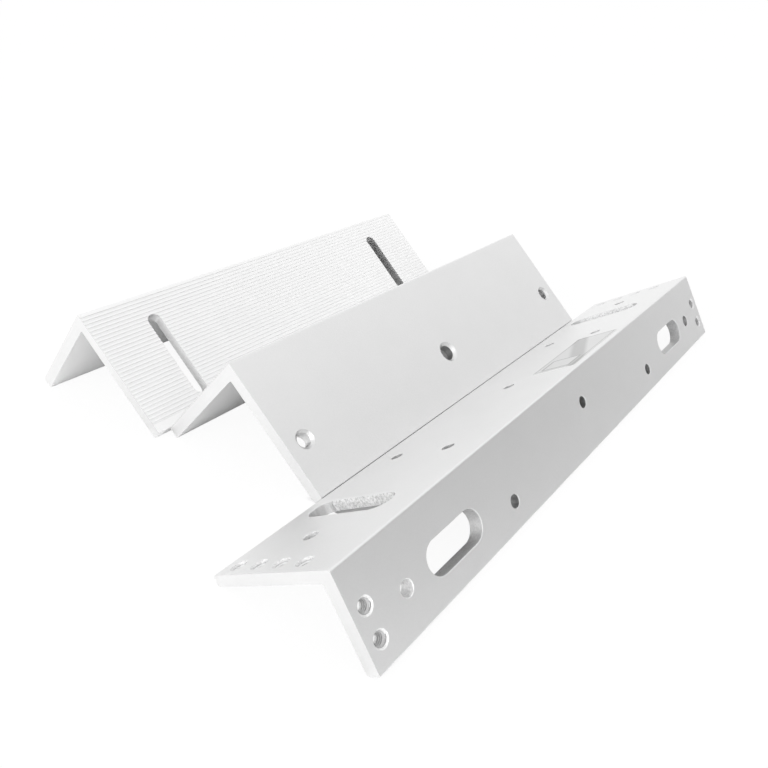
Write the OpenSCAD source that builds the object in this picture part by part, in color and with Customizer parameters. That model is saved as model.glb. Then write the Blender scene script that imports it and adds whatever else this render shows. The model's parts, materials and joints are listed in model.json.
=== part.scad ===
// Electromagnetic lock bracket: three extruded aluminium angles that belong together.
// The magnet angle carries the lock's magnet on the door frame. The armature angle and
// the door angle bolt rib to rib into a Z that carries the armature plate on the door.
// Each angle stands on its two leg tips with its ridge up, one behind another.
// Millimetres. X runs along the angles, Y runs to the back and Z is up.

/* [Magnet angle] */
// Length of the magnet angle
magnet_len = 250; // [210:1:320]
// Width of its back leg, from the ridge to the tip
magnet_back_leg = 48.5; // [46:0.5:60]
// Width of its front leg, from the ridge to the tip
magnet_front_leg = 28.5; // [27:0.5:38]
// Thickness of its back leg
magnet_back_wall = 3.5; // [2.5:0.1:6]
// Thickness of its front leg
magnet_front_wall = 4.5; // [3:0.1:6]

/* [Magnet angle holes] */
// Thread size of the tapped holes near the two ends
tap_d = 4; // [3:0.5:5]
// Width of the countersink round each tapped hole
tap_chamfer = 0.55; // [0.1:0.05:0.8]
// Distance of the tapped holes from the end
tap_inset = 4.7; // [4:0.1:7]
// Distance between tapped holes across the back leg
back_tap_pitch = 9.4; // [7:0.1:10]
// Distance between tapped holes across the front leg
front_tap_pitch = 9; // [7:0.1:10]
// Distance of the last tapped hole from the tip of the back leg
back_tap_tip = 6.1; // [4:0.1:8]
// Distance of the last tapped hole from the tip of the front leg
front_tap_tip = 7.1; // [4:0.1:8.5]
// Diameter of the screw hole beside the tapped holes
end_hole_d = 4.6; // [4:0.1:6]
// Distance of that screw hole from the end
end_hole_inset = 18.2; // [12:0.1:20]
// Diameter of the inner and the centre screw holes
inner_hole_d = 4.2; // [3.5:0.1:6]
// Distance of the inner screw holes from the end
inner_hole_inset = 69.7; // [60:0.1:90]
// Distance between the two inner holes across the back leg
back_hole_pitch = 22.3; // [10:0.1:26]
// How far the middle between them lies below the back leg's middle line
back_hole_drop = 0.5; // [-2:0.1:2]
// How far the front leg's row of holes lies below its middle line
front_row_drop = 0.6; // [-2:0.1:2]
// How far the inner hole of the front leg lies below that row
front_hole_drop = 4; // [0:0.1:6]
// How far the centre hole of the front leg lies above that row
centre_hole_rise = 4.8; // [0:0.1:6]
// Length of the cable slot along the front leg
front_slot_len = 25; // [15:0.1:30]
// Width of the cable slot along the front leg
front_slot_w = 10; // [6:0.1:13]
// Distance of the front slot's middle from the end
front_slot_inset = 40.2; // [36:0.1:48]
// Length of the adjusting slot across the back leg
back_slot_len = 32.9; // [18:0.1:36]
// Width of the adjusting slot across the back leg
back_slot_w = 10; // [6:0.1:13]
// Distance of the back slot's middle from the end
back_slot_inset = 35.3; // [30:0.1:46]
// How far the back slot's middle lies below the back leg's middle line
back_slot_drop = 1; // [-2:0.1:2]

/* [Z angles] */
// Length of the armature angle and the door angle
z_len = 181; // [160:1:260]
// Width of each leg of both, from the ridge to the tip
z_leg = 51; // [46:0.5:60]
// Thickness of their legs
z_wall = 4.5; // [3:0.1:6]
// Distance from one rib to the next on the faces that bolt together
rib_pitch = 1.5; // [1.2:0.1:3]
// Depth of the grooves between the ribs
rib_depth = 0.2; // [0.1:0.05:0.8]
// Slope of a rib's sides, from the plate's normal
rib_flank = 30; // [10:1:35]
// Distance of the first groove from the ridge
rib_start = 2; // [1.5:0.1:8]
// Plain strip between the last groove and the tip
rib_end = 3.5; // [2:0.1:6]
// Thread size of the two screws that clamp the ribbed faces together
clamp_d = 5; // [4:0.5:6]
// Distance between those two screws
clamp_spacing = 131; // [90:1:140]
// Play of a clamp screw in its slot
clamp_play = 0.5; // [0.2:0.1:1]
// Distance of the clamp slots from the ridge
clamp_slot_top = 9; // [7:0.1:14]
// Distance of the clamp slots from the tip
clamp_slot_end = 7; // [5:0.1:14]
// Distance of the armature holes from the ridge
armature_line = 32.6; // [18:0.1:38]
// Diameter of the armature plate's centre hole
armature_bolt_d = 6.2; // [5:0.1:9]
// Width of the chamfer round it
armature_bolt_chamfer = 1.2; // [0.2:0.05:1.5]
// Diameter of the two guide pin holes
guide_d = 5; // [3:0.1:6]
// Width of the chamfer round them
guide_chamfer = 1; // [0.2:0.05:1.3]
// Distance of the guide pin holes from the end
guide_inset = 7.7; // [6:0.1:20]
// Diameter of the door screw holes
door_hole_d = 5.5; // [4:0.1:7]
// Distance between the outer door screws
door_outer_spacing = 144; // [120:1:145]
// Distance between the inner door screws
door_inner_spacing = 56; // [30:1:80]

/* [Edges] */
// Rounding of the outer corner along the ridge
ridge_r = 0.7; // [0.3:0.1:2]
// Fillet of the inner corner
root_r = 0.8; // [0.2:0.1:1.5]
// Rounding of the leg tips
tip_r = 0.5; // [0.2:0.05:1]
// Edge break round plain holes and slots
edge_break = 0.15; // [0.05:0.05:0.5]

/* [Layout] */
// Clearance between one angle and the next
rest_gap = 0.2; // [0.1:0.05:1]
// How far the armature angle stands to the right of the magnet angle's middle
armature_shift = 8.5; // [-20:0.05:20]
// How far the door angle stands to the right of the magnet angle's middle
door_shift = 3.7; // [-20:0.05:20]

/* [Hidden] */
$fn = 64;
satin = [0.87, 0.875, 0.88];
// How far a cutter runs past the face that it cuts
over = 1;

// Middle lines of the magnet angle's legs, on the width that its inside shows
magnet_back_mid = (magnet_front_wall + magnet_back_leg) / 2;
magnet_front_mid = (magnet_back_wall + magnet_front_leg) / 2;
// Row of the front leg's end holes and cable slots
front_row = magnet_front_mid + front_row_drop;
magnet_end = magnet_len / 2;
back_taps = 4;
front_taps = 2;

// Ribs and clamp slots of the two faces that bolt together
rib_count = floor((z_leg - rib_start - rib_end) / rib_pitch) + 1;
clamp_slot_w = clamp_d + clamp_play;
clamp_slot_len = z_leg - clamp_slot_top - clamp_slot_end;
clamp_line = clamp_slot_top + clamp_slot_len / 2;
door_line = (z_wall + z_leg) / 2;

// An angle that stands on its two tips: how far its back leg leans down from level,
// how high its ridge lies, and how far its legs reach behind and before the ridge.
function lean(back, front, back_wall, front_wall) = atan((front - back_wall) / (back - front_wall));
function ridge_z(back, back_wall, a) = (back - tip_r) * sin(a) + (back_wall - tip_r) * cos(a) + tip_r;
function back_reach(back, a) = (back - tip_r) * cos(a) - tip_r * sin(a) + tip_r;
function front_reach(front, a) = (front - tip_r) * sin(a) - tip_r * cos(a) + tip_r;

magnet_lean = lean(magnet_back_leg, magnet_front_leg, magnet_back_wall, magnet_front_wall);
magnet_z = ridge_z(magnet_back_leg, magnet_back_wall, magnet_lean);
z_lean = lean(z_leg, z_leg, z_wall, z_wall);
z_ridge = ridge_z(z_leg, z_wall, z_lean);

// Middle of the rounding at the magnet angle's back tip, and at a Z angle's front tip.
// The second is counted from that angle's ridge in y.
tip_y = (magnet_back_leg - tip_r) * cos(magnet_lean) - tip_r * sin(magnet_lean);
tip_z = magnet_z - (magnet_back_leg - tip_r) * sin(magnet_lean) - tip_r * cos(magnet_lean);
foot_y = tip_r * cos(z_lean) - (z_leg - tip_r) * sin(z_lean);
foot_z = z_ridge - tip_r * sin(z_lean) - (z_leg - tip_r) * cos(z_lean);

// The armature angle stands just behind the magnet angle. Its front face clears the upper rounding
// of that back tip where it reaches so low, and its front tip clears the back tip's end face where
// it lies so deep. Otherwise one tip's rounding clears the other's.
face_clear = tip_y + (tip_r + rest_gap + (z_ridge - tip_z) * sin(z_lean)) / cos(z_lean);
end_reach = magnet_back_leg + tip_r + rest_gap + (foot_z - magnet_z) * sin(magnet_lean);
end_clear = end_reach / cos(magnet_lean) - foot_y;
tips_apart = pow(2 * tip_r + rest_gap, 2) - pow(foot_z - tip_z, 2);
tip_clear = tip_y + sqrt(max(0, tips_apart)) - foot_y;
face_meets = (tip_y - face_clear - foot_y) * sin(z_lean) + (tip_z - foot_z) * cos(z_lean) > 0;
end_meets = (end_clear + foot_y - tip_y) * sin(magnet_lean) + (foot_z - tip_z) * cos(magnet_lean) < 0;
armature_y = max(tip_clear, face_meets ? face_clear : tip_clear, end_meets ? end_clear : tip_clear);
// The door angle's front tip stands just behind the armature angle's back tip.
door_y = armature_y + back_reach(z_leg, z_lean) + rest_gap + front_reach(z_leg, z_lean);

// Middle of the whole set, which becomes the origin
left_x = min(-magnet_end, min(armature_shift, door_shift) - z_len / 2);
right_x = max(magnet_end, max(armature_shift, door_shift) + z_len / 2);
front_y = -front_reach(magnet_front_leg, magnet_lean);
back_y = door_y + back_reach(z_leg, z_lean);
middle = [(left_x + right_x) / 2, (front_y + back_y) / 2];

// What is left of a square corner at the origin when it is rounded
module corner(r) {
    difference() {
        square(r);
        translate([r, r]) circle(r);
    }
}

// Cross-section of an angle, ridge at the origin: the back leg runs along +x
// and the front leg runs down, with their outer faces on the axes.
module angle_section(back, front, back_wall, front_wall) {
    difference() {
        union() {
            translate([0, -back_wall]) square([back, back_wall]);
            translate([0, -front]) square([front_wall, front]);
            translate([front_wall, -back_wall]) rotate(-90) corner(root_r);
        }
        rotate(-90) corner(ridge_r);
        translate([back, 0]) rotate(180) corner(tip_r);
        translate([back, -back_wall]) rotate(90) corner(tip_r);
        translate([0, -front]) corner(tip_r);
        translate([front_wall, -front]) rotate(90) corner(tip_r);
    }
}

// Row of grooves for a face on the y axis, counted down from the ridge.
// Ribs and grooves are equally wide at half depth, so two such faces mesh.
module groove_row() {
    slope = tan(rib_flank);
    mouth = rib_pitch / 4 + (rib_depth / 2 + over) * slope;
    root = rib_pitch / 4 - rib_depth / 2 * slope;
    for (i = [0 : rib_count - 1])
        translate([0, -rib_start - i * rib_pitch])
            polygon([[-over, -mouth], [rib_depth, -root], [rib_depth, root], [-over, mouth]]);
}

// Extrudes a cross-section along X, centred, with its y axis up
module along_x(len) {
    translate([-len / 2, 0, 0]) rotate([90, 0, 90]) linear_extrude(len) children();
}

// Puts a cutter on a leg's outer face, v down from the ridge, so that it cuts along +z
module on_back(x, v) {
    translate([x, v, 0]) rotate([180, 0, 0]) children();
}
module on_front(x, v) {
    translate([x, 0, -v]) rotate([-90, 0, 0]) children();
}

// Round hole through a wall, with a 45 degree chamfer at the outer face
module drill(d, wall, chamfer = edge_break) {
    translate([0, 0, -over]) {
        cylinder(d = d, h = wall + 2 * over);
        cylinder(d1 = d + 2 * (chamfer + over), d2 = d, h = chamfer + over);
    }
}

// Slot with round ends through a wall, lying along x, with the same chamfer
module slot(len, w, wall, chamfer = edge_break) {
    run = len - w;
    mouth = w / 2 + chamfer + over;
    translate([-run / 2, -w / 2, -over]) cube([run, w, wall + 2 * over]);
    along_x(run) polygon([[-mouth, -over], [mouth, -over], [w / 2, chamfer], [-w / 2, chamfer]]);
    for (side = [-1, 1])
        translate([side * run / 2, 0, 0]) drill(w, wall, chamfer);
}

// Leans an angle back onto its two tips and stands it in its place
module stand(x, y, z, a) {
    translate([x - middle[0], y - middle[1], z]) rotate([-a, 0, 0]) children();
}

module magnet_angle() {
    color(satin)
    stand(0, 0, magnet_z, magnet_lean)
    difference() {
        along_x(magnet_len)
            angle_section(magnet_back_leg, magnet_front_leg, magnet_back_wall, magnet_front_wall);
        for (side = [-1, 1]) {
            tap_x = side * (magnet_end - tap_inset);
            for (i = [0 : back_taps - 1])
                on_back(tap_x, magnet_back_leg - back_tap_tip - i * back_tap_pitch)
                    drill(tap_d, magnet_back_wall, tap_chamfer);
            for (i = [0 : front_taps - 1])
                on_front(tap_x, magnet_front_leg - front_tap_tip - i * front_tap_pitch)
                    drill(tap_d, magnet_front_wall, tap_chamfer);

            end_x = side * (magnet_end - end_hole_inset);
            on_back(end_x, magnet_back_mid) drill(end_hole_d, magnet_back_wall);
            on_front(end_x, front_row) drill(end_hole_d, magnet_front_wall);

            inner_x = side * (magnet_end - inner_hole_inset);
            for (row = [-1, 1])
                on_back(inner_x, magnet_back_mid + back_hole_drop + row * back_hole_pitch / 2)
                    drill(inner_hole_d, magnet_back_wall);
            on_front(inner_x, front_row + front_hole_drop) drill(inner_hole_d, magnet_front_wall);

            on_back(side * (magnet_end - back_slot_inset), magnet_back_mid + back_slot_drop)
                rotate(90) slot(back_slot_len, back_slot_w, magnet_back_wall);
            on_front(side * (magnet_end - front_slot_inset), front_row)
                slot(front_slot_len, front_slot_w, magnet_front_wall);
        }
        on_back(0, magnet_back_mid) drill(inner_hole_d, magnet_back_wall);
        on_front(0, front_row - centre_hole_rise) drill(inner_hole_d, magnet_front_wall);
    }
}

module armature_angle() {
    color(satin)
    stand(armature_shift, armature_y, z_ridge, z_lean)
    difference() {
        along_x(z_len) difference() {
            angle_section(z_leg, z_leg, z_wall, z_wall);
            mirror([1, 1]) groove_row();
        }
        for (side = [-1, 1]) {
            on_back(side * clamp_spacing / 2, clamp_line)
                drill(clamp_d, z_wall, tap_chamfer);
            on_front(side * (z_len / 2 - guide_inset), armature_line)
                drill(guide_d, z_wall, guide_chamfer);
        }
        on_front(0, armature_line) drill(armature_bolt_d, z_wall, armature_bolt_chamfer);
    }
}

module door_angle() {
    color(satin)
    stand(door_shift, door_y, z_ridge, z_lean)
    difference() {
        along_x(z_len) difference() {
            angle_section(z_leg, z_leg, z_wall, z_wall);
            groove_row();
        }
        for (side = [-1, 1]) {
            on_front(side * clamp_spacing / 2, clamp_line)
                rotate(90) slot(clamp_slot_len, clamp_slot_w, z_wall, 0);
            on_back(side * door_outer_spacing / 2, door_line) drill(door_hole_d, z_wall);
            on_back(side * door_inner_spacing / 2, door_line) drill(door_hole_d, z_wall);
        }
    }
}

magnet_angle();
armature_angle();
door_angle();
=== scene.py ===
import json

import bpy
import numpy as np
from mathutils import Matrix, Vector


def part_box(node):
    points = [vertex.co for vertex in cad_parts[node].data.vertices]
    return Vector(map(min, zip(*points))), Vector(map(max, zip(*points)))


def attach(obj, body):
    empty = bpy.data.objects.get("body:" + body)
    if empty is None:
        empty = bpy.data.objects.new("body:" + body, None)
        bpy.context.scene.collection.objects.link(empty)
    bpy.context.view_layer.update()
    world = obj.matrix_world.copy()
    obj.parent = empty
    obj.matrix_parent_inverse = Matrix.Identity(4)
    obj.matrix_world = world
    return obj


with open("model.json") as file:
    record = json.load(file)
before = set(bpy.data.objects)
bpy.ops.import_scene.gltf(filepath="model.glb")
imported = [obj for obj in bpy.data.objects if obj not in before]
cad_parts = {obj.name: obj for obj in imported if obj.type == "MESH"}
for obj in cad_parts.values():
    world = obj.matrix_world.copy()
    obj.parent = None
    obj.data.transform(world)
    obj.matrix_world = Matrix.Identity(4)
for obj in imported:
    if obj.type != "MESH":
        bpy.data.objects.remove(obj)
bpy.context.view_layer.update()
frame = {"nodes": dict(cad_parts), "record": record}

# Magnet angle
# The long L angle that screws under the door frame and carries the magnet. One aluminium extrusion,
# sawn to length, drilled, tapped and slotted, then etched and anodised to a satin silver.
mm = 0.001
along = np.array([1.0, 0.0, 0.0])
mounts = {mount["name"]: mount for mount in frame["record"]["mounts"]}

cable_slot_x = 84.8 * mm
cable_slot_size = (25.0 * mm, 10.0 * mm)
adjusting_slot_x = 89.7 * mm
adjusting_slot_v = 27.5 * mm
adjusting_slot_size = (32.9 * mm, 10.0 * mm)
magnet_back_wall = 3.5 * mm
magnet_front_wall = 4.5 * mm


def outer_face(mount_name):
    """Point on a leg's outer face and the face's outward normal, from a mount of the record."""
    mount = mounts[mount_name]
    return np.array(mount["pos_m"]), np.array(mount["axis"])


def add_node(tree, kind, inputs, **settings):
    """Adds a shader node; an input is a plain value or the socket of another node."""
    node = tree.nodes.new(kind)
    for name, value in settings.items():
        setattr(node, name, value)
    for key, value in inputs.items():
        if isinstance(value, bpy.types.NodeSocket):
            tree.links.new(value, node.inputs[key])
        else:
            node.inputs[key].default_value = value
    return node


def figure(tree, operation, *values):
    """One step of arithmetic on numbers or sockets, as a socket."""
    return add_node(tree, "ShaderNodeMath", dict(enumerate(values)), operation=operation).outputs[0]


def distance_along(tree, place, origin, direction):
    """How far a place lies from an origin along a direction: (place - origin) . direction."""
    inputs = {0: place, 1: tuple(direction)}
    turned = add_node(tree, "ShaderNodeVectorMath", inputs, operation="DOT_PRODUCT")
    return figure(tree, "SUBTRACT", turned.outputs["Value"], float(np.dot(origin, direction)))


def mirrored(tree, place):
    """A place with its X made positive, so that the left half is treated as the right half is."""
    split = add_node(tree, "ShaderNodeSeparateXYZ", {"Vector": place}).outputs
    right = figure(tree, "ABSOLUTE", split["X"])
    return add_node(tree, "ShaderNodeCombineXYZ", {"X": right, "Y": split["Y"], "Z": split["Z"]}).outputs[0]


def inside_slot(tree, place, slot):
    """1 on the walls of a round-ended slot and 0 on the faces beside them.
    The distance to the slot's middle line is sqrt(max(|run| - half run, 0)^2 + cross^2)."""
    centre, run_direction, cross_direction, (length, width) = slot
    edge_break = 0.17 * mm
    run = figure(tree, "ABSOLUTE", distance_along(tree, place, centre, run_direction))
    past_run = figure(tree, "MAXIMUM", figure(tree, "SUBTRACT", run, (length - width) / 2), 0.0)
    cross = distance_along(tree, place, centre, cross_direction)
    squared = figure(tree, "ADD", figure(tree, "MULTIPLY", past_run, past_run),
                     figure(tree, "MULTIPLY", cross, cross))
    return figure(tree, "LESS_THAN", figure(tree, "SQRT", squared), width / 2 + edge_break)


def noise(tree, place, scale, detail=2.0):
    """Noise about zero, from -1/2 to 1/2, with a scale in grains per metre along X, Y and Z."""
    mapped = add_node(tree, "ShaderNodeMapping", {"Vector": place, "Scale": scale})
    made = add_node(tree, "ShaderNodeTexNoise",
                    {"Vector": mapped.outputs[0], "Scale": 1.0, "Detail": detail, "Roughness": 0.55})
    return figure(tree, "SUBTRACT", made.outputs["Fac"], 0.5)


def choose(tree, mask, plain, special):
    """The plain value where the mask is 0 and the special one where it is 1."""
    return add_node(tree, "ShaderNodeMix", {0: mask, 2: plain, 3: special}, data_type="FLOAT").outputs[0]


def grey(tree, tone):
    """A neutral colour of one tone."""
    return add_node(tree, "ShaderNodeCombineColor", {"Red": tone, "Green": tone, "Blue": tone}).outputs[0]


def ramp(tree, value, first, last, at_first, at_last):
    """Goes evenly from one value to another while the input goes from first to last, and stays there."""
    inputs = {"Value": value, "From Min": first, "From Max": last, "To Min": at_first, "To Max": at_last}
    return add_node(tree, "ShaderNodeMapRange", inputs).outputs[0]


def new_material(name):
    """A material with its node tree, its shader and the Object coordinates."""
    material = bpy.data.materials.new(name)
    material.use_nodes = True
    tree = material.node_tree
    place = add_node(tree, "ShaderNodeTexCoord", {}).outputs["Object"]
    return material, tree, tree.nodes["Principled BSDF"], place


satin_rough = 0.52
cut_tone = 0.74
cut_rough = 0.36
sawn_tone = 0.73
sawn_rough = 0.5
torn_tone = 0.66
torn_rough = 0.6
torn_metal = 0.25
end_zone = 22.0 * mm


def rough_slot_walls(tree, place, cut, torn, specks, slot):
    """Adds the walls of the two cable slots to what is cut, and tears them in part."""
    in_slot = inside_slot(tree, mirrored(tree, place), slot)
    rough_wall = figure(tree, "MAXIMUM", specks, 0.3)
    torn = figure(tree, "MAXIMUM", torn, figure(tree, "MULTIPLY", in_slot, rough_wall))
    return figure(tree, "MAXIMUM", cut, in_slot), torn


def torn_holes_painted_light(tree, place, offset, half_length, cut, torn, pale_leg):
    """Tears the holes of one leg a little and those near the left end a lot. Also gives the painted light
    on the torn metal:
    paler walls in the other leg near the left end, and in this leg's right half."""
    origin, direction, wall = pale_leg
    in_leg = figure(tree, "LESS_THAN", distance_along(tree, place, origin, direction), wall)
    in_left_end = figure(tree, "LESS_THAN", offset, end_zone - half_length)
    in_right_leg = figure(tree, "MULTIPLY", in_leg, figure(tree, "GREATER_THAN", offset, 0.0))
    in_front_end = figure(tree, "MULTIPLY", in_left_end, figure(tree, "SUBTRACT", 1.0, in_leg))
    share = figure(tree, "MULTIPLY_ADD", in_right_leg, 0.15, figure(tree, "MULTIPLY", in_leg, 0.12))
    share = figure(tree, "MAXIMUM", share, figure(tree, "MULTIPLY", in_left_end, 0.7))
    torn = figure(tree, "MAXIMUM", torn, figure(tree, "MULTIPLY", cut, share))
    # Painted light: how much paler the torn walls are made near the front leg's left end and in the top
    # leg's right half.
    painted_hole_light = figure(tree, "MULTIPLY_ADD", in_front_end, 0.26, figure(tree, "MULTIPLY", in_right_leg, 0.12))
    return torn, painted_hole_light


def groove_painted_shade_and_light(tree, place, offset, half_length, grooved):
    """Painted shade and light in the grooves between the ribs: darker at the left as painted shade, a
    little paler at the right as painted light.
    """
    depth = distance_along(tree, place, *grooved)
    past_crest = figure(tree, "GREATER_THAN", depth, 0.08 * mm)
    groove = figure(tree, "MULTIPLY", past_crest, figure(tree, "LESS_THAN", depth, 0.5 * mm))
    # Painted shade in the grooves at the left end, fading to painted light at the right.
    painted_shade_and_light = ramp(tree, offset, -half_length, half_length / 2, -0.06, 0.04)
    return figure(tree, "MULTIPLY", groove, painted_shade_and_light)


def satin_metal(name, silver, middle_x, half_length, grain_height, slot=None, milled=None, sparkle=0.8,
                pale_leg=None, grooved=None, cut_silver=cut_tone):
    """Satin anodised aluminium on Object coordinates.
    Colour is the silver plus a faint mottle; height is matt grain plus die lines along X.
    Sawn ends, far out on X, carry saw lines instead. Whatever else faces sideways was drilled or milled:
    there the height is cutter marks and the tone is a little duller. Where the cutter tore the metal,
    as on the straight walls of the milled slot, the metal scatters light and sparkles."""
    material, tree, shader, place = new_material(name)
    normal = add_node(tree, "ShaderNodeNewGeometry", {}).outputs["True Normal"]
    sideways = add_node(tree, "ShaderNodeSeparateXYZ", {"Vector": normal}).outputs["X"]
    sideways = figure(tree, "ABSOLUTE", sideways)
    offset = distance_along(tree, place, along * middle_x, along)
    sawn = figure(tree, "GREATER_THAN", figure(tree, "ABSOLUTE", offset), half_length - 0.01 * mm)
    cut = figure(tree, "GREATER_THAN", sideways, 0.02)
    specks = figure(tree, "GREATER_THAN", noise(tree, place, (1500.0, 1500.0, 1500.0), 1.0), 0.22)
    facets = noise(tree, place, (1600.0, 1600.0, 1600.0), 1.0)
    torn = figure(tree, "MULTIPLY", cut, specks)
    scatter = figure(tree, "MULTIPLY_ADD", facets, sparkle, torn_tone)
    if slot:
        cut, torn = rough_slot_walls(tree, place, cut, torn, specks, slot)
    if pale_leg:
        torn, painted_hole_light = torn_holes_painted_light(tree, place, offset, half_length, cut, torn, pale_leg)
        # Painted light on the torn hole walls.
        scatter = figure(tree, "ADD", scatter, painted_hole_light)
    if milled:
        straight = figure(tree, "GREATER_THAN", sideways, 0.97)
        in_slot = inside_slot(tree, mirrored(tree, place) if slot else place, milled)
        torn = figure(tree, "MAXIMUM", torn, figure(tree, "MULTIPLY", straight, in_slot))
    torn = figure(tree, "MULTIPLY", torn, figure(tree, "SUBTRACT", 1.0, sawn))

    grain = noise(tree, place, (1700.0, 1700.0, 1700.0), 3.0)
    die_lines = noise(tree, place, (5.0, 900.0, 900.0))
    saw_lines = noise(tree, place, (900.0, 1500.0, 220.0))
    cutter_marks = noise(tree, place, (1800.0, 1500.0, 1500.0), 3.0)
    mottle = noise(tree, place, (70.0, 70.0, 70.0), 3.0)

    matt = figure(tree, "MULTIPLY", grain, grain_height)
    skin = figure(tree, "MULTIPLY_ADD", die_lines, 0.006 * mm, matt)
    height = choose(tree, cut, skin, figure(tree, "MULTIPLY", cutter_marks, 0.08 * mm))
    height = choose(tree, sawn, height, figure(tree, "MULTIPLY", saw_lines, 0.012 * mm))
    bump = add_node(tree, "ShaderNodeBump", {"Height": height, "Strength": 1.0, "Distance": 1.0})
    tree.links.new(bump.outputs[0], shader.inputs["Normal"])

    tone = choose(tree, sawn, choose(tree, cut, silver, cut_silver), sawn_tone)
    tone = figure(tree, "MULTIPLY_ADD", mottle, 0.03, tone)
    tone = figure(tree, "MULTIPLY_ADD", grain, 0.05, tone)
    # Painted shade and light in the rib grooves.
    if grooved:
        tone = figure(tree, "ADD", tone, groove_painted_shade_and_light(tree, place, offset, half_length, grooved))
    tone = choose(tree, torn, tone, figure(tree, "MINIMUM", scatter, 1.0))
    tree.links.new(grey(tree, tone), shader.inputs["Base Color"])

    rough = choose(tree, sawn, choose(tree, cut, satin_rough, cut_rough), sawn_rough)
    rough = figure(tree, "MULTIPLY_ADD", grain, 0.10, rough)
    tree.links.new(choose(tree, torn, rough, torn_rough), shader.inputs["Roughness"])
    tree.links.new(choose(tree, torn, 1.0, torn_metal), shader.inputs["Metallic"])
    return material


def finish_node(node_name, material):
    """Gives a CAD node its finish."""
    slots = frame["nodes"][node_name].data.materials
    slots.clear()
    slots.append(material)


frame_point, frame_normal = outer_face("frame_face")
magnet_point, magnet_normal = outer_face("magnet_face")
down_back = -magnet_normal
down_front = -frame_normal
frame_height = np.dot(frame_normal, frame_point)
magnet_height = np.dot(magnet_normal, magnet_point)
magnet_ridge = frame_normal * frame_height + magnet_normal * magnet_height
cable_slot = (along * cable_slot_x + magnet_point * (1 - along), along, down_front, cable_slot_size)
adjusting_middle = magnet_ridge + along * adjusting_slot_x + down_back * adjusting_slot_v
adjusting_slot = (adjusting_middle, down_back, along, adjusting_slot_size)
magnet_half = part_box("magnet_angle")[1].x
top_leg = (magnet_ridge, down_front, magnet_back_wall + 0.1 * mm)
magnet_metal = satin_metal("satin_magnet_angle", 0.81, 0.0, magnet_half, 0.02 * mm, cable_slot,
                           adjusting_slot, pale_leg=top_leg)
finish_node("magnet_angle", magnet_metal)

# Threads of the magnet angle
# The coarse machine thread that a tap leaves in the twelve small holes near its two ends.
# Cut in the same aluminium; the back leg's threads carry a light tone as painted light and the front leg's
# a dark tone as painted shade.
frame_tap_r = 2.0 * mm
frame_tap_pitch = 0.7 * mm
tap_countersink = 0.55 * mm
thread_sides = 28
# Painted light and shade: one thread metal in a light tone for the back leg and a dark tone for the front
# leg.
lit_thread_tone = 0.85
shaded_thread_tone = 0.55


def add_mesh(name, points, faces, material):
    """Makes a piece of the object from points and faces and lets it ride on the bracket."""
    mesh = bpy.data.meshes.new(name)
    mesh.from_pydata(points.tolist(), [], faces)
    mesh.materials.append(material)
    mesh.update()
    piece = bpy.data.objects.new(name, mesh)
    bpy.context.scene.collection.objects.link(piece)
    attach(piece, "root")
    return piece


def thread_ridge(bore_r, pitch, wall, countersink):
    """One thread in its hole, with the hole's axis on +z and z counted into the wall from the
    countersink's foot. A truncated triangle is carried along a helix: angle t, depth pitch * t / 2 pi.
    Its foot lies in the bore's wall and its crest 0.54 pitch inside it. The countersink's cone,
    of radius bore_r - depth, cuts it off at the top, and the crest runs out over the last half turn."""
    sunk = 0.04 * mm
    turns = (wall - countersink) / pitch - 0.5
    rings = int(turns * thread_sides) + 1
    t = np.linspace(0, 2 * np.pi * turns, rings)[:, None]
    run_out = np.clip((t[-1] - t) / np.pi, 0.04, 1)
    shift = np.array([-0.44, -0.07, 0.07, 0.44]) * pitch
    height = np.array([0, 1, 1, 0]) * (0.54 * pitch + sunk)
    depth = pitch * t / (2 * np.pi) + shift
    radius = bore_r + sunk - height * run_out
    radius = np.maximum(radius, np.minimum(bore_r - depth, bore_r + sunk))
    points = np.stack([radius * np.cos(t), radius * np.sin(t), depth], axis=-1).reshape(-1, 3)
    ring, corner = np.meshgrid(np.arange(rings - 1) * 4, np.arange(4), indexing="ij")
    after = (corner + 1) % 4
    sides = np.stack([ring + corner, ring + 4 + corner, ring + 4 + after, ring + after], axis=-1)
    last = (rings - 1) * 4
    caps = np.array([[0, 1, 2, 3], [last + 3, last + 2, last + 1, last]])
    return points, np.vstack([sides.reshape(-1, 4), caps])


def cut_threads(name, holes, bore_r, pitch, wall, countersink, material):
    """One thread in each hole; a hole is the foot of its countersink and the face's outward normal."""
    ridge, faces = thread_ridge(bore_r, pitch, wall, countersink)
    points = []
    all_faces = []
    for number, (centre, normal) in enumerate(holes):
        across = np.cross(-normal, along)
        points.append(centre + ridge[:, :1] * along + ridge[:, 1:2] * across - ridge[:, 2:] * normal)
        all_faces.append(faces + number * len(ridge))
    return add_mesh(name, np.vstack(points), np.vstack(all_faces).tolist(), material)


def hole_pair(mount_name, direction):
    """The two holes of a bolt pattern, which lie half its circle to either side of its middle."""
    centre, normal = outer_face(mount_name)
    reach = direction * mounts[mount_name]["dims"]["pcd_mm"] / 2 * mm
    return [(centre - reach, normal), (centre + reach, normal)]


back_taps = []
front_taps = []
for side in ("left", "right"):
    back_taps += hole_pair(f"frame_leg_taps_{side}_lower", down_back)
    back_taps += hole_pair(f"frame_leg_taps_{side}_upper", down_back)
    front_taps += hole_pair(f"front_leg_taps_{side}", down_front)
# Lit and shaded copies of the same thread metal: painted light and painted shade.
painted_lit_thread = satin_metal("thread_painted_light", lit_thread_tone, 0.0, 1.0, 0.02 * mm, cut_silver=lit_thread_tone)
painted_shaded_thread = satin_metal("thread_painted_shade", shaded_thread_tone, 0.0, 1.0, 0.02 * mm, cut_silver=shaded_thread_tone)
back_threads = cut_threads("magnet_back_leg_threads", back_taps, frame_tap_r, frame_tap_pitch,
                           magnet_back_wall, tap_countersink, painted_lit_thread)
front_threads = cut_threads("magnet_front_leg_threads", front_taps, frame_tap_r, frame_tap_pitch,
                            magnet_front_wall, tap_countersink, painted_shaded_thread)
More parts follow.
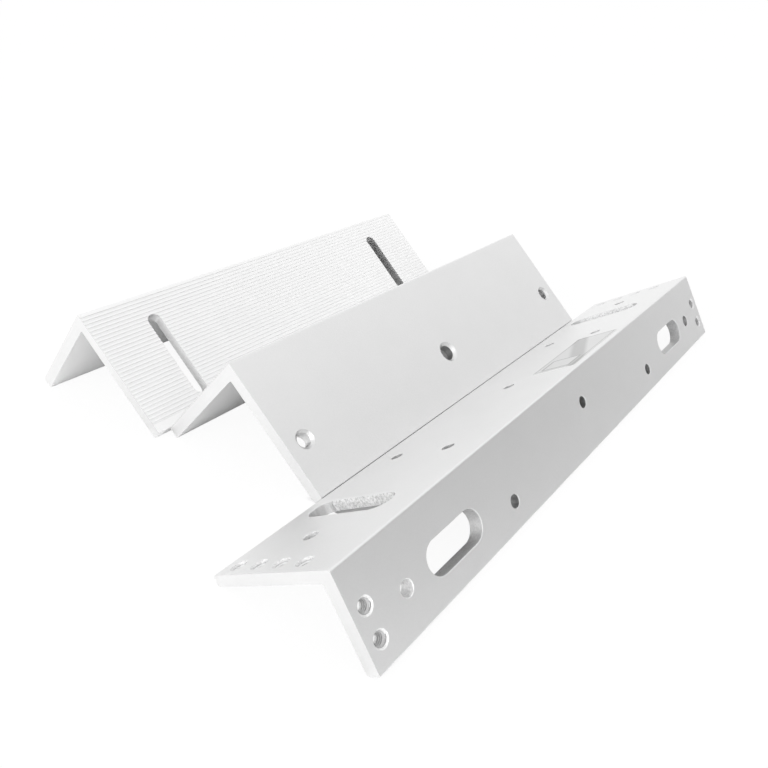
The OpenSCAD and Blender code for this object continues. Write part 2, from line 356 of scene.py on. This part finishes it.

# Blank label
# A thin film label stuck on the magnet angle's top leg, right of its middle.
# Printed with a fine border and a plain outlined panel, and otherwise bare; a soft slanted grey band across
# it is a painted dark sheen.
label_size = (41.0 * mm, 17.7 * mm)
label_x = 28.0 * mm
label_v = 11.6 * mm
label_thick = 0.12 * mm
label_corner = 1.2 * mm
panel_x = -13.0 * mm
panel_half = (5.5 * mm, 6.0 * mm)
# Painted sheen: a soft darker band slanted across the film.
painted_sheen_turn = np.radians(23.0)
painted_sheen_across = down_back * np.cos(painted_sheen_turn) - along * np.sin(painted_sheen_turn)
painted_sheen_half = 3.0 * mm
painted_sheen_v = -1.0 * mm
painted_sheen_soft = 0.3
outline_width = 0.7 * mm
border_inset = 0.9 * mm
border_half = 0.25 * mm
film_tone = 0.6
film_rough = 0.4


def rounded_outline(size, corner, steps=7):
    """Points round a rectangle with round corners: quarter arcs about four centres."""
    half = np.array(size) / 2 - corner
    arc = np.linspace(0, np.pi / 2, steps)
    angles = arc + np.arange(4)[:, None] * np.pi / 2
    centres = half * np.array([[1, 1], [-1, 1], [-1, -1], [1, -1]])
    arcs = np.stack([np.cos(angles), np.sin(angles)], axis=-1)
    return (centres[:, None] + corner * arcs).reshape(-1, 2)


def blank_film():
    """Film material: pale grey with a thin border line and one plain panel, and a slanted grey band that is
    a painted dark sheen, each by distance from the label's middle."""
    material, tree, shader, place = new_material("blank_film")
    run = distance_along(tree, place, label_centre, along)
    cross = distance_along(tree, place, label_centre, down_back)
    beside = figure(tree, "ABSOLUTE", cross)
    fibres = noise(tree, place, (700.0, 700.0, 700.0))

    from_panel = figure(tree, "ABSOLUTE", figure(tree, "SUBTRACT", run, panel_x))
    to_panel_edge = figure(tree, "MINIMUM", figure(tree, "SUBTRACT", panel_half[0], from_panel),
                           figure(tree, "SUBTRACT", panel_half[1], beside))
    in_panel = figure(tree, "GREATER_THAN", to_panel_edge, 0.0)
    outline = figure(tree, "MULTIPLY", in_panel, figure(tree, "LESS_THAN", to_panel_edge, outline_width))

    painted_sheen_middle = label_centre + down_back * painted_sheen_v
    from_painted_sheen = figure(tree, "ABSOLUTE", distance_along(tree, place, painted_sheen_middle, painted_sheen_across))
    painted_sheen = ramp(tree, from_painted_sheen, painted_sheen_half * (1 - painted_sheen_soft), painted_sheen_half * (1 + painted_sheen_soft), 1.0, 0.0)
    in_painted_sheen = figure(tree, "MULTIPLY", painted_sheen, figure(tree, "SUBTRACT", 1.0, in_panel))

    to_end = figure(tree, "SUBTRACT", label_size[0] / 2, figure(tree, "ABSOLUTE", run))
    to_side = figure(tree, "SUBTRACT", label_size[1] / 2, beside)
    from_border = figure(tree, "SUBTRACT", figure(tree, "MINIMUM", to_end, to_side), border_inset)
    border = figure(tree, "LESS_THAN", figure(tree, "ABSOLUTE", from_border), border_half)

    tone = figure(tree, "MULTIPLY_ADD", fibres, 0.04, film_tone)
    tone = figure(tree, "MULTIPLY_ADD", outline, -0.3, tone)
    # Painted dark sheen across the film, outside the panel.
    tone = figure(tree, "MULTIPLY_ADD", in_painted_sheen, -0.18, tone)
    tone = figure(tree, "MULTIPLY_ADD", border, -0.2, tone)
    tree.links.new(grey(tree, tone), shader.inputs["Base Color"])
    shader.inputs["Roughness"].default_value = film_rough
    return material


label_centre = magnet_ridge + along * label_x + down_back * label_v
label_outline = rounded_outline(label_size, label_corner)
count = len(label_outline)
ring = label_centre + label_outline[:, :1] * along + label_outline[:, 1:] * down_back
label_points = np.vstack([ring, ring + frame_normal * label_thick])
label_around = np.arange(count)
label_next = (label_around + 1) % count
label_faces = np.stack([label_around, label_around + count, label_next + count, label_next], axis=-1)
label_faces = label_faces.tolist()
label_faces.append(label_around.tolist())
label_faces.append((label_around[::-1] + count).tolist())
blank_label = add_mesh("blank_label", label_points, label_faces, blank_film())

# Armature angle
# The plain-faced angle that carries the armature plate on its front leg; its back leg is ribbed and has
# two tapped holes for the screws that clamp it to the door angle. Same extruded and anodised aluminium.
clamp_tap_r = 2.5 * mm
clamp_tap_pitch = 0.8 * mm
z_wall = 4.5 * mm
armature_middle_x = mounts["armature_bolt_hole"]["pos_m"][0]
z_half = (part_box("armature_angle")[1].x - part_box("armature_angle")[0].x) / 2
clamp_point, clamp_normal = outer_face("clamp_screw_taps")
armature_grooves = (clamp_point + clamp_normal * tap_countersink, -clamp_normal)
armature_metal = satin_metal("satin_armature_angle", 0.81, armature_middle_x, z_half, 0.03 * mm,
                             grooved=armature_grooves)
finish_node("armature_angle", armature_metal)
clamp_holes = hole_pair("clamp_screw_taps", along)
armature_threads = cut_threads("armature_angle_threads", clamp_holes, clamp_tap_r, clamp_tap_pitch,
                               z_wall, tap_countersink, painted_shaded_thread)

# Door angle
# The ribbed angle that screws to the door; the ribs come from the extrusion die and two slots are milled
# through them for the clamp screws. Same extruded and anodised aluminium.
door_line = 27.75 * mm
clamp_slot_left = 65.5 * mm
clamp_slot_down = 26.5 * mm
clamp_slot_size = (35.0 * mm, 5.5 * mm)
door_middle_x = mounts["door_face"]["pos_m"][0]
door_point, door_normal = outer_face("door_face")
door_down_back = np.cross(door_normal, along)
door_ridge = door_point - door_down_back * door_line
clamp_slot_middle = door_ridge - along * clamp_slot_left - door_normal * clamp_slot_down
clamp_slot = (clamp_slot_middle, -door_normal, along, clamp_slot_size)
# The door angle's silver, 0.905 against the other angles' 0.81, is lighter as painted light on the same
# aluminium.
door_metal = satin_metal("satin_door_angle", 0.905, door_middle_x, z_half, 0.02 * mm, milled=clamp_slot,
                         sparkle=0.15, grooved=(door_ridge, door_down_back))
finish_node("door_angle", door_metal)

# Floor, light and camera
# A plain pale table under even white light, with a low dark card beside it that shades the metal.
# The camera stands where the photograph was taken from.
scene = bpy.context.scene
scene.view_settings.view_transform = "Standard"
world = bpy.data.worlds.new("white_room")
scene.world = world
world.use_nodes = True
room = world.node_tree
room_light = 1.08
camera_ray = add_node(room, "ShaderNodeLightPath", {}).outputs["Is Camera Ray"]
strength = figure(room, "MULTIPLY_ADD", camera_ray, 1.0 - room_light, room_light)
room.nodes["Background"].inputs["Color"].default_value = (1, 1, 1, 1)
room.links.new(strength, room.nodes["Background"].inputs["Strength"])

open_white = 0.93
shaded_white = 0.1
shade_middle = (39.3 * mm, 25.0 * mm, 0.0)
shade_inner_r = 50.0 * mm
shade_outer_r = 71.4 * mm
strip_y = -52.5 * mm
strip_inner_half = 14.5 * mm
strip_outer_half = 16.0 * mm
table_paint = (0.96, 0.96, 0.96, 1)
card_turn = np.radians(-61.0)
card_away = 0.9
card_half_width = 0.42
card_solid = 0.46
card_height = 0.64
card_paint = (0.03, 0.03, 0.03, 1)


def stage_sheet(name, corners, material, seen):
    """A flat four-cornered sheet of the studio."""
    mesh = bpy.data.meshes.new(name)
    mesh.from_pydata(corners, [], [(0, 1, 2, 3)])
    mesh.materials.append(material)
    sheet = bpy.data.objects.new(name, mesh)
    scene.collection.objects.link(sheet)
    sheet.visible_camera = seen
    return sheet


def pale_table():
    """White table: diffuse, with most of its white shown straight to the camera.
    Less of it is shown straight in a round place under the two Z angles and in a strip under the
    magnet angle, so that the table's own shade is seen below the bracket."""
    material, tree, shader, place = new_material("pale_table")
    tree.nodes.remove(shader)
    camera_ray = add_node(tree, "ShaderNodeLightPath", {}).outputs["Is Camera Ray"]
    inputs = {0: place, 1: shade_middle}
    away = add_node(tree, "ShaderNodeVectorMath", inputs, operation="DISTANCE").outputs["Value"]
    white = ramp(tree, away, shade_inner_r, shade_outer_r, shaded_white, open_white)
    split = add_node(tree, "ShaderNodeSeparateXYZ", {"Vector": place}).outputs
    from_strip = figure(tree, "ABSOLUTE", figure(tree, "SUBTRACT", split["Y"], strip_y))
    strip = ramp(tree, from_strip, strip_inner_half, strip_outer_half, shaded_white, open_white)
    from_middle = figure(tree, "ABSOLUTE", figure(tree, "SUBTRACT", split["X"], armature_middle_x))
    past_end = figure(tree, "GREATER_THAN", from_middle, z_half)
    strip = choose(tree, past_end, strip, open_white)
    share = figure(tree, "MULTIPLY", camera_ray, figure(tree, "MINIMUM", white, strip))
    paint = add_node(tree, "ShaderNodeBsdfDiffuse", {"Color": table_paint})
    glow = add_node(tree, "ShaderNodeEmission", {"Color": (1, 1, 1, 1), "Strength": 1.0})
    mix = add_node(tree, "ShaderNodeMixShader", {0: share, 1: paint.outputs[0], 2: glow.outputs[0]})
    tree.links.new(mix.outputs[0], tree.nodes["Material Output"].inputs["Surface"])
    return material


def dark_card():
    """Matt dark card that fades out upwards: solid below the first height and gone above the second."""
    material, tree, shader, place = new_material("dark_card")
    height = add_node(tree, "ShaderNodeSeparateXYZ", {"Vector": place}).outputs["Z"]
    tree.links.new(ramp(tree, height, card_solid, card_height, 1.0, 0.0), shader.inputs["Alpha"])
    shader.inputs["Base Color"].default_value = card_paint
    shader.inputs["Roughness"].default_value = 0.9
    return material


floor_half = 20.0
stage_sheet("table", [(-floor_half, -floor_half, 0), (floor_half, -floor_half, 0),
                      (floor_half, floor_half, 0), (-floor_half, floor_half, 0)], pale_table(), True)
card_foot = card_away * np.array([np.cos(card_turn), np.sin(card_turn), 0.0])
card_side = card_half_width * np.array([-np.sin(card_turn), np.cos(card_turn), 0.0])
card_up = np.array([0.0, 0.0, card_height])
card_corners = [card_foot - card_side, card_foot + card_side,
                card_foot + card_side + card_up, card_foot - card_side + card_up]
stage_sheet("side_card", [tuple(c) for c in card_corners], dark_card(), False)


def softbox(name, place, size, energy):
    """A square soft lamp that faces the bracket."""
    lamp = bpy.data.lights.new(name, "AREA")
    lamp.shape = "SQUARE"
    lamp.size = size
    lamp.energy = energy
    holder = bpy.data.objects.new(name, lamp)
    holder.location = place
    holder.rotation_euler = (-Vector(place)).to_track_quat("-Z", "Y").to_euler()
    holder.visible_camera = False
    scene.collection.objects.link(holder)


softbox("left_softbox", (-1.25, -0.1, 0.42), 1.0, 11.0)

camera_data = bpy.data.cameras.new("camera")
camera = bpy.data.objects.new("camera", camera_data)
scene.collection.objects.link(camera)
camera_data.sensor_width = 36.0
camera_data.lens = 34.3438
camera_data.shift_x = -0.036
camera_data.shift_y = 0.03896
camera_data.clip_start = 0.01
camera_place = Vector((-0.21598, -0.172, 0.13661))
camera_right = Vector((0.58156, -0.81344, 0.01025))
camera_ahead = Vector((0.71154, 0.50252, -0.4911)).normalized()
camera_up = camera_right.cross(camera_ahead).normalized()
camera_right = camera_ahead.cross(camera_up)
turn = Matrix((camera_right, camera_up, -camera_ahead)).transposed()
camera.matrix_world = Matrix.Translation(camera_place) @ turn.to_4x4()
scene.camera = camera
